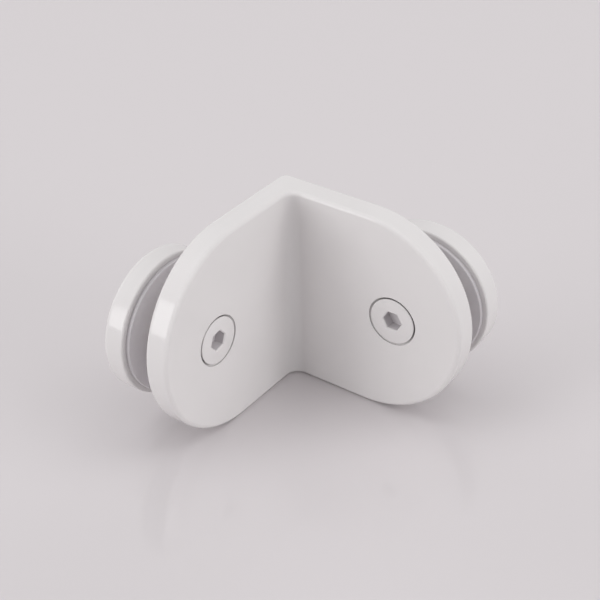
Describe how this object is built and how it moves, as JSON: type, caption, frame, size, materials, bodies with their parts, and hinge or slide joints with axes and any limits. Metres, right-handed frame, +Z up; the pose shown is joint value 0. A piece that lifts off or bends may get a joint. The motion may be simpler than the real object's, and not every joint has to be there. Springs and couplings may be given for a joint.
{
  "type": "corner glass panel clamp",
  "caption": "Right-angle corner clamp for glass panels: round-tipped bracket with a screwed clamping disc and gaskets on the outside of each leaf.",
  "frame": {"origin": "centre of the outer sizes, on the level of the bracket's lower edges", "axes": "+Z up; the left leaf runs along +X and the right leaf along +Y from the outer corner; the left disc pulls along the Y axis and the right disc along the X axis"},
  "size_m": [0.0636, 0.0636, 0.05],
  "materials": {
    "bracket_coat": "white powder coat, satin gloss",
    "disc_coat": "white powder coat, satin gloss",
    "screw_coat": "white coated head, bright steel thread",
    "gasket_rubber": "smooth light grey silicone",
    "bush_nylon": "natural nylon, moulded"
  },
  "bodies": {
    "bracket": {"angle_bracket": "bracket_coat", "left_leaf_gasket": "gasket_rubber", "right_leaf_gasket": "gasket_rubber"},
    "left_screw": {"left_screw": "screw_coat"},
    "right_screw": {"right_screw": "screw_coat"},
    "left_disc": {"left_disc": "disc_coat", "left_disc_gasket": "gasket_rubber", "left_bush": "bush_nylon"},
    "right_disc": {"right_disc": "disc_coat", "right_disc_gasket": "gasket_rubber", "right_bush": "bush_nylon"}
  },
  "joints": [
    {"name": "left_disc_travel", "type": "slide", "parent": "bracket", "child": "left_disc", "axis": [0, -1, 0], "range_m": [0, 0.003]},
    {"name": "left_screw_turn", "type": "hinge", "parent": "bracket", "child": "left_screw", "pos_m": [0.01425, -0.01925, 0.025], "axis": [0, 1, 0], "range_deg": [0, 1080]},
    {"name": "right_disc_travel", "type": "slide", "parent": "bracket", "child": "right_disc", "axis": [-1, 0, 0], "range_m": [0, 0.003]},
    {"name": "right_screw_turn", "type": "hinge", "parent": "bracket", "child": "right_screw", "pos_m": [-0.01925, 0.01425, 0.025], "axis": [1, 0, 0], "range_deg": [0, 1080]}
  ],
  "couplings": [
    {"joint": "left_screw_turn", "follows": "left_disc_travel", "rad_per_m": 6283.2},
    {"joint": "right_screw_turn", "follows": "right_disc_travel", "rad_per_m": 6283.2}
  ]
}
